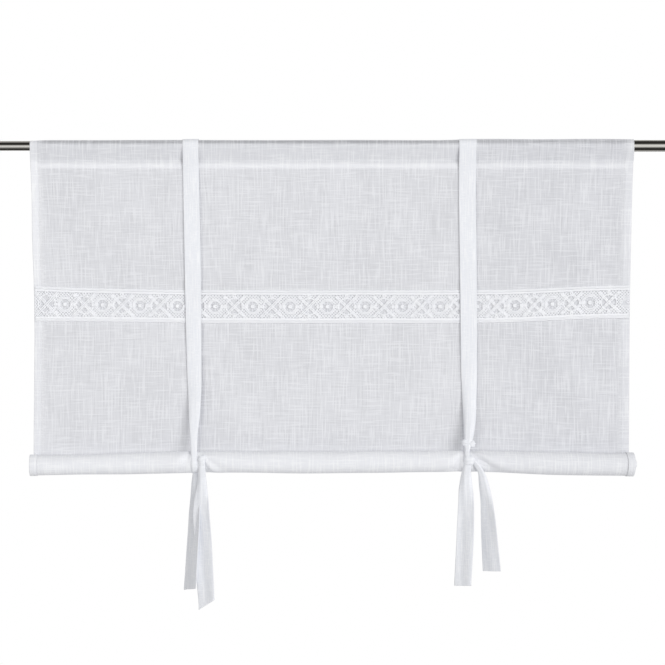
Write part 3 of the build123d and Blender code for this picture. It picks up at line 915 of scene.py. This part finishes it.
def lace_net(material):
    """A diamond net: cords at 45 degrees both ways, which pass over and under each other.

    It is open inside the rings, and round the middles of the crosses between their arms.
    """
    half = NET_PITCH / 2
    steps = np.arange(17)[None, :]
    start = np.arange(-546, 546, NET_PITCH)[:, None]
    nets = []
    for lean in (1, -1):
        x = start + lean * (steps - 8) * half
        up = 0.5 + (steps - 8) * half / LACE_TALL + 0 * x
        over = 0.75 + 0.3 * lean * (-1.0) ** (steps + np.arange(len(start))[:, None])
        mid_x = (x[:, 1:] + x[:, :-1]) / 2
        mid_z = (up[:, 1:] + up[:, :-1]) / 2 * LACE_TALL - LACE_TALL / 2
        ring = (mid_x - LACE_SHIFT + LACE_REPEAT / 2) % LACE_REPEAT - LACE_REPEAT / 2
        cross = (mid_x - LACE_SHIFT) % LACE_REPEAT - LACE_REPEAT / 2
        from_ring = np.hypot(ring, mid_z)
        from_cross = np.hypot(cross, mid_z)
        from_arm = np.minimum(np.abs(cross - mid_z), np.abs(cross + mid_z)) / np.sqrt(2)
        varied = 0.9 * np.sin(mid_x * 0.31) + 0.7 * np.sin(mid_x * 0.83 + mid_z)
        in_ring = (from_ring > 3.0) & (from_ring < 9.3 + varied)
        in_cross = (from_cross < 11.2 + varied) & (from_arm > 2.4)
        keep = ~in_ring & ~in_cross & (np.abs(mid_x) < 498)
        nets.append((on_lace(x, up, over), 1.0 + 0.16 * (-1.0) ** steps, 0.4, keep))
    return cords("lace_net", nets, material)


def up_to(end, places):
    """The places that lie nearer to the blind's middle than the end."""
    return places[np.abs(places[:, 0]) < end]


def lace_motifs(material):
    """Rings and crosses in turn along the lace, and beads round the crosses and between both."""
    number = np.arange(-8, 9)[:, None]
    rings = up_to(488, LACE_SHIFT + number * LACE_REPEAT)
    crosses = up_to(480, LACE_SHIFT + LACE_REPEAT / 2 + number * LACE_REPEAT)
    between = up_to(492, np.concatenate([rings + LACE_REPEAT / 4, rings - LACE_REPEAT / 4]))
    groups = []

    def motif(places, dx, dz, out, radius, flat=0.5):
        """The same cord round every place, a little larger or smaller and off its place."""
        size = 1 + 0.07 * np.sin(places * 1.7)
        x = places + 0.7 * np.sin(places * 0.9) + dx * size
        groups.append((on_lace(x, 0.5 + dz * size / LACE_TALL, out), radius, flat, None))

    eighth = np.linspace(0, 2 * np.pi, 9)[None, :] + np.pi / 8
    full = np.linspace(0, 2 * np.pi, 19)[None, :]
    cosine, sine = np.cos(full), np.sin(full)
    # A ring: two eight-cornered cords, a bead in its middle, and eight spokes.
    for size, out, radius in ((10.8, 1.3, 1.3), (13.4, 1.2, 1.2)):
        motif(rings, size * np.cos(eighth), size * np.sin(eighth), out, radius)
    motif(rings, 1.9 * cosine, 1.9 * sine, 1.6, 1.9, 0.3)
    spoke = np.linspace(2.5, 10.8, 4)[None, :]
    for angle in np.pi / 4 * np.arange(8):
        motif(rings, spoke * np.cos(angle), spoke * np.sin(angle), 1.1, 0.35)
    # A cross: two beaded cords along each arm, a circle over them, and a bead on each side.
    arm = np.linspace(-19.5, 19.5, 16)[None, :]
    beaded = 1.3 + 0.3 * np.cos(np.arange(16) * np.pi)
    for lean in (1, -1):
        for offset in (-1.3 * 0.7, 1.3 * 0.7):
            dz = lean * (arm - offset)
            motif(crosses, arm + offset, dz, 1.6 + 0.3 * lean, beaded, 0.35)
    motif(crosses, 13.6 * cosine, 13.6 * sine, 1.3, 1.3, 0.4)
    for angle in np.pi / 2 * np.arange(4):
        beads = up_to(496, crosses + CROSS_END * np.cos(angle))
        dz = CROSS_END * np.sin(angle) * 0.85 + 2.0 * sine
        motif(beads, 2.0 * cosine, dz, 1.5, 1.5, 0.35)
    for dz in (-14.5, 0.0, 14.5):
        motif(between, 1.8 * cosine, dz + 1.8 * sine, 1.5, 1.6, 0.35)
    return cords("lace_motifs", groups, material)


def lace_edges(material):
    """Closely worked edges: overlapping zigzags on a ground that hides the cloth, and cords."""
    x = np.arange(-499, 499.5, 1.9)[None, :]
    turn = np.arange(x.shape[1])[None, :] % 2
    edges = []
    for up, half in ((0.055, 3.6), (0.95, 3.0)):
        edges.append((on_lace(x, up + 0.006 * np.sin(x / 31), 0.4), half, 0.1, None))
    for low, high, out in (
        (0.0, 0.05, 0.9), (0.035, 0.085, 1.1), (0.92, 0.965, 0.9), (0.955, 1.0, 1.1),
    ):
        edges.append((on_lace(x, low + (high - low) * turn, out), 1.15, 0.3, None))
    for up, radius in (
        (0.008, 1.0), (0.05, 0.8), (0.095, 1.3), (0.125, 1.1),
        (0.885, 1.1), (0.91, 1.3), (0.955, 0.8), (0.992, 1.0),
    ):
        wave = up + 0.004 * np.sin(x / 2.3) + 0.003 * np.sin(x / 31)
        edges.append((on_lace(x, wave, 1.3), radius * (1 + 0.12 * (-1.0) ** turn), 0.4, None))
    return cords("lace_edges", edges, material)


# ---------------- stitches

STITCH_PITCH = 3.0
STITCH_HALF = 1.2  # half of a stitch


def make_stitches(material):
    """Lockstitches 2.4 mm long, one every 3 mm: over and under the seam strip, and on the hems."""
    x = np.arange(-488, 484, STITCH_PITCH)
    z = np.arange(-500, -38, STITCH_PITCH)
    left, right = side_edges(z)
    level, upright = (STITCH_HALF, 0, 0), (0, 0, STITCH_HALF)
    groups = []
    for x, z, half in (
        (x, np.full_like(x, SEAM_TOP - 1.5), level),
        (x, np.full_like(x, SEAM_BOTTOM - 0.8), level),
        (left + HEM_WIDTH - 1.5, z, upright),
        (right - HEM_WIDTH + 1.5, z, upright),
    ):
        middle = stacked(x, drop_y(x, z) - 0.15, z)[:, None]
        ends = np.array([-1.0, -0.4, 0.4, 1.0])[:, None] * half
        groups.append((middle + ends, 0.3, 0.6, None))
    return cords("seam_stitches", groups, material, sides=5)


# ---------------- build

voile = sheer_slub_voile()
linen = band_weave()
cotton = lace_cotton()
steel = drawn_steel()
plastic = moulded_plastic()

cloth, cut_length = make_cloth(voile)
lace = [lace_net(cotton), lace_motifs(cotton), lace_edges(cotton)]
stitches = make_stitches(cotton)
bands = [band_loop(side, knot, *shape, linen) for knot, (side, *shape) in zip(KNOTS, BANDS)]
tails = [make_tail(*row, linen) for row in TAILS]
wraps = [make_wrap(*row, linen) for row in WRAPS]

for piece in [cloth, stitches, *lace, *bands, *tails, *wraps]:
    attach(piece, BODY)

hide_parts("blind_cloth")
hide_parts("lace_band")
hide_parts("tie_band_left")
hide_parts("tie_band_right")

for name, material in (
    ("rod_outer_tube", steel), ("rod_inner_tube", steel), ("rod_mouth_bush", plastic),
    ("rod_guide_plug", plastic), ("rod_foot_left", plastic), ("rod_foot_right", plastic),
):
    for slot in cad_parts[name].material_slots:
        slot.material = material


# ---------------- floor, light and camera

FLOOR_Z = -1350


def make_floor():
    """A pale floor under the blind, which keeps its shadow."""
    material, tree = new_material("floor_painted_white")
    place = add(tree, "TexCoord").outputs["Object"]
    mottle = add(tree, "TexNoise", {"Vector": place, "Scale": 3.0})
    tone = add(tree, "Mix", {0: mottle, A: colour("#F6F6F6"), B: colour("#F9F9F9")}, **RGBA)
    look = {"Base Color": tone, "Roughness": 0.9}
    add(tree, "OutputMaterial", {"Surface": add(tree, "BsdfPrincipled", look)})
    corners = ((-3000, -3000), (3000, -3000), (3000, 2000), (-3000, 2000))
    points = [(x, y, FLOOR_Z) for x, y in corners]
    floor = put_mesh("floor", points, [[0, 1, 2, 3]], material)


def sun(name, strength, width, towards):
    """A soft sun of that angular width in degrees, shining towards a direction."""
    lamp = bpy.data.lights.new(name, "SUN")
    lamp.energy = strength
    lamp.angle = np.radians(width)
    holder = bpy.data.objects.new(name, lamp)
    holder.rotation_euler = Vector(towards).to_track_quat("-Z", "Y").to_euler()
    bpy.context.collection.objects.link(holder)


def make_world():
    """White to the camera and in reflections, and a plain soft light on everything else."""
    world = bpy.data.worlds.new("studio")
    world.use_nodes = True
    tree = world.node_tree
    tree.nodes.clear()
    path = add(tree, "LightPath").outputs
    seen = add(tree, "Math", (path["Is Camera Ray"], path["Is Glossy Ray"]), operation="MAXIMUM")
    seen = add(tree, "Math", (seen, path["Is Transmission Ray"]), operation="MAXIMUM")
    strength = add(tree, "Mix", {0: seen, 2: 0.45, 3: 1.0}, data_type="FLOAT")
    light = add(tree, "Background", {"Color": (1, 1, 1, 1), "Strength": strength})
    add(tree, "OutputWorld", {"Surface": light})
    bpy.context.scene.world = world


def make_camera():
    """Straight on to the blind, with FRAME_WIDTH of it across the frame."""
    lens = bpy.data.cameras.new("camera")
    lens.sensor_width = 36.0
    lens.lens = lens.sensor_width * EYE_AWAY / FRAME_WIDTH
    holder = bpy.data.objects.new("camera", lens)
    holder.location = ((MIDDLE + EYE_X) / 1000, -EYE_AWAY / 1000, EYE_Z / 1000)
    holder.rotation_euler = (np.pi / 2, 0, 0)
    bpy.context.collection.objects.link(holder)
    bpy.context.scene.camera = holder


make_floor()
make_world()
sun("key", 1.53, 40, (-0.72, 1.0, -0.26))
sun("fill", 0.36, 60, (0.8, 1.0, 0.0))
sun("behind", 1.0, 60, (0.3, -1.0, -0.3))
make_camera()
bpy.context.scene.view_settings.view_transform = "Standard"

bpy.context.view_layer.update()
